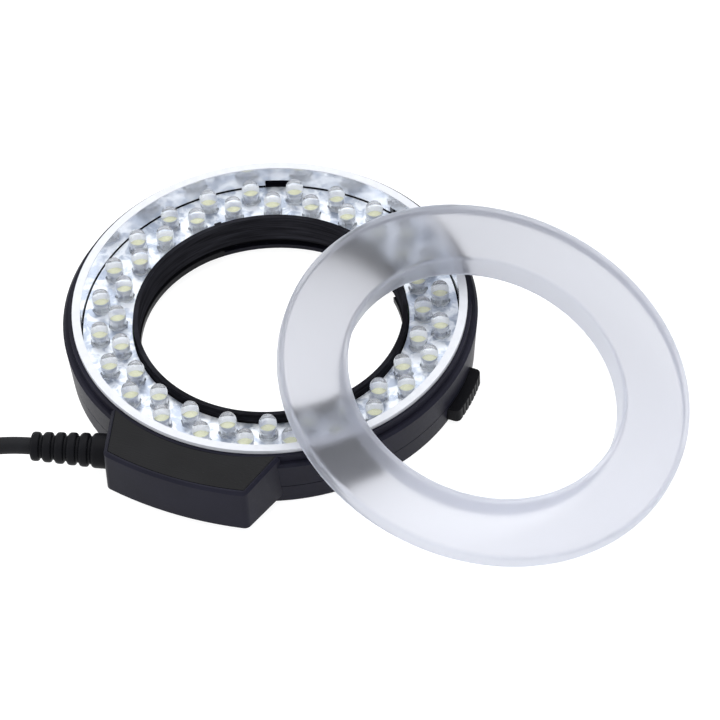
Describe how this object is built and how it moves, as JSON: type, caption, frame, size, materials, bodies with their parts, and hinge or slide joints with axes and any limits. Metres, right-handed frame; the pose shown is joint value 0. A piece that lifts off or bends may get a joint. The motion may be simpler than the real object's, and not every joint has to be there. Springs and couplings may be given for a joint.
{
  "type": "macro ring flash",
  "caption": "Flat ring light head that clamps in front of a lens, with rows of small lamps, two release buttons, a side block with a lead and plug, and a ring diffuser leaning on it.",
  "frame": {"origin": "on the optical axis, in the plane of the rear face at the centre of the adapter bore", "axes": "+Z is the way the light leaves, -Y runs through the electronics block, +X and -X run through the release buttons"},
  "size_m": [0.2531, 0.1341, 0.0383],
  "materials": {
    "housing_plastic": "fine matt moulded texture",
    "barrel_plastic": "matt black, faint rings",
    "plate_gloss": "satin black plate, bare",
    "reflector_white": "bright white rim over a silvered inner wall",
    "tray_silver": "silvered reflector floor",
    "lamp_clear": "clear cast resin",
    "board_green": "solder mask",
    "parts_black": "moulded component bodies",
    "copper": "tinned and insulated wire",
    "slide_plastic": "low-friction moulded plastic",
    "button_plastic": "serrated grip",
    "retainer_plastic": "moulded plate",
    "spring_steel": "bright wire",
    "screw_steel": "blackened",
    "cord_rubber": "matt jacket",
    "plug_plastic": "moulded grip",
    "plug_metal": "plated contact",
    "diffuser_frost": "frosted translucent"
  },
  "bodies": {
    "head": {"rear_cover": "housing_plastic", "front_housing": "housing_plastic", "inner_barrel": "barrel_plastic", "reflector_ring": "reflector_white", "led_tray": "tray_silver", "led_board": "board_green", "leds_inner_row": "lamp_clear", "leds_outer_row": "lamp_clear", "latch_retainer": "retainer_plastic", "right_spring": "spring_steel", "left_spring": "spring_steel", "block_housing": "housing_plastic", "block_plate": "plate_gloss", "driver_board": "board_green", "driver_parts": "parts_black", "board_wires": "copper", "rear_screws": "screw_steel", "strain_relief": "cord_rubber", "cord_lead": "cord_rubber", "cord_coil": "cord_rubber", "cord_tail": "cord_rubber", "plug_body": "plug_plastic", "plug_pin": "plug_metal"},
    "right_latch": {"right_latch_slide": "slide_plastic", "right_button": "button_plastic"},
    "left_latch": {"left_latch_slide": "slide_plastic", "left_button": "button_plastic"},
    "diffuser": {"diffuser": "diffuser_frost"}
  },
  "joints": [
    {"name": "right_button_press", "type": "slide", "parent": "head", "child": "right_latch", "axis": [-1, 0, 0], "range_m": [0, 0.0022], "stiffness_N_per_m": 600, "springref_m": -0.0013, "deforming": ["right_spring"]},
    {"name": "left_button_press", "type": "slide", "parent": "head", "child": "left_latch", "axis": [1, 0, 0], "range_m": [0, 0.0022], "stiffness_N_per_m": 600, "springref_m": -0.0013, "deforming": ["left_spring"]},
    {"name": "diffuser_lift", "type": "slide", "parent": "head", "child": "diffuser", "axis": [0, 0, 1], "range_m": [0, 0.04]}
  ]
}
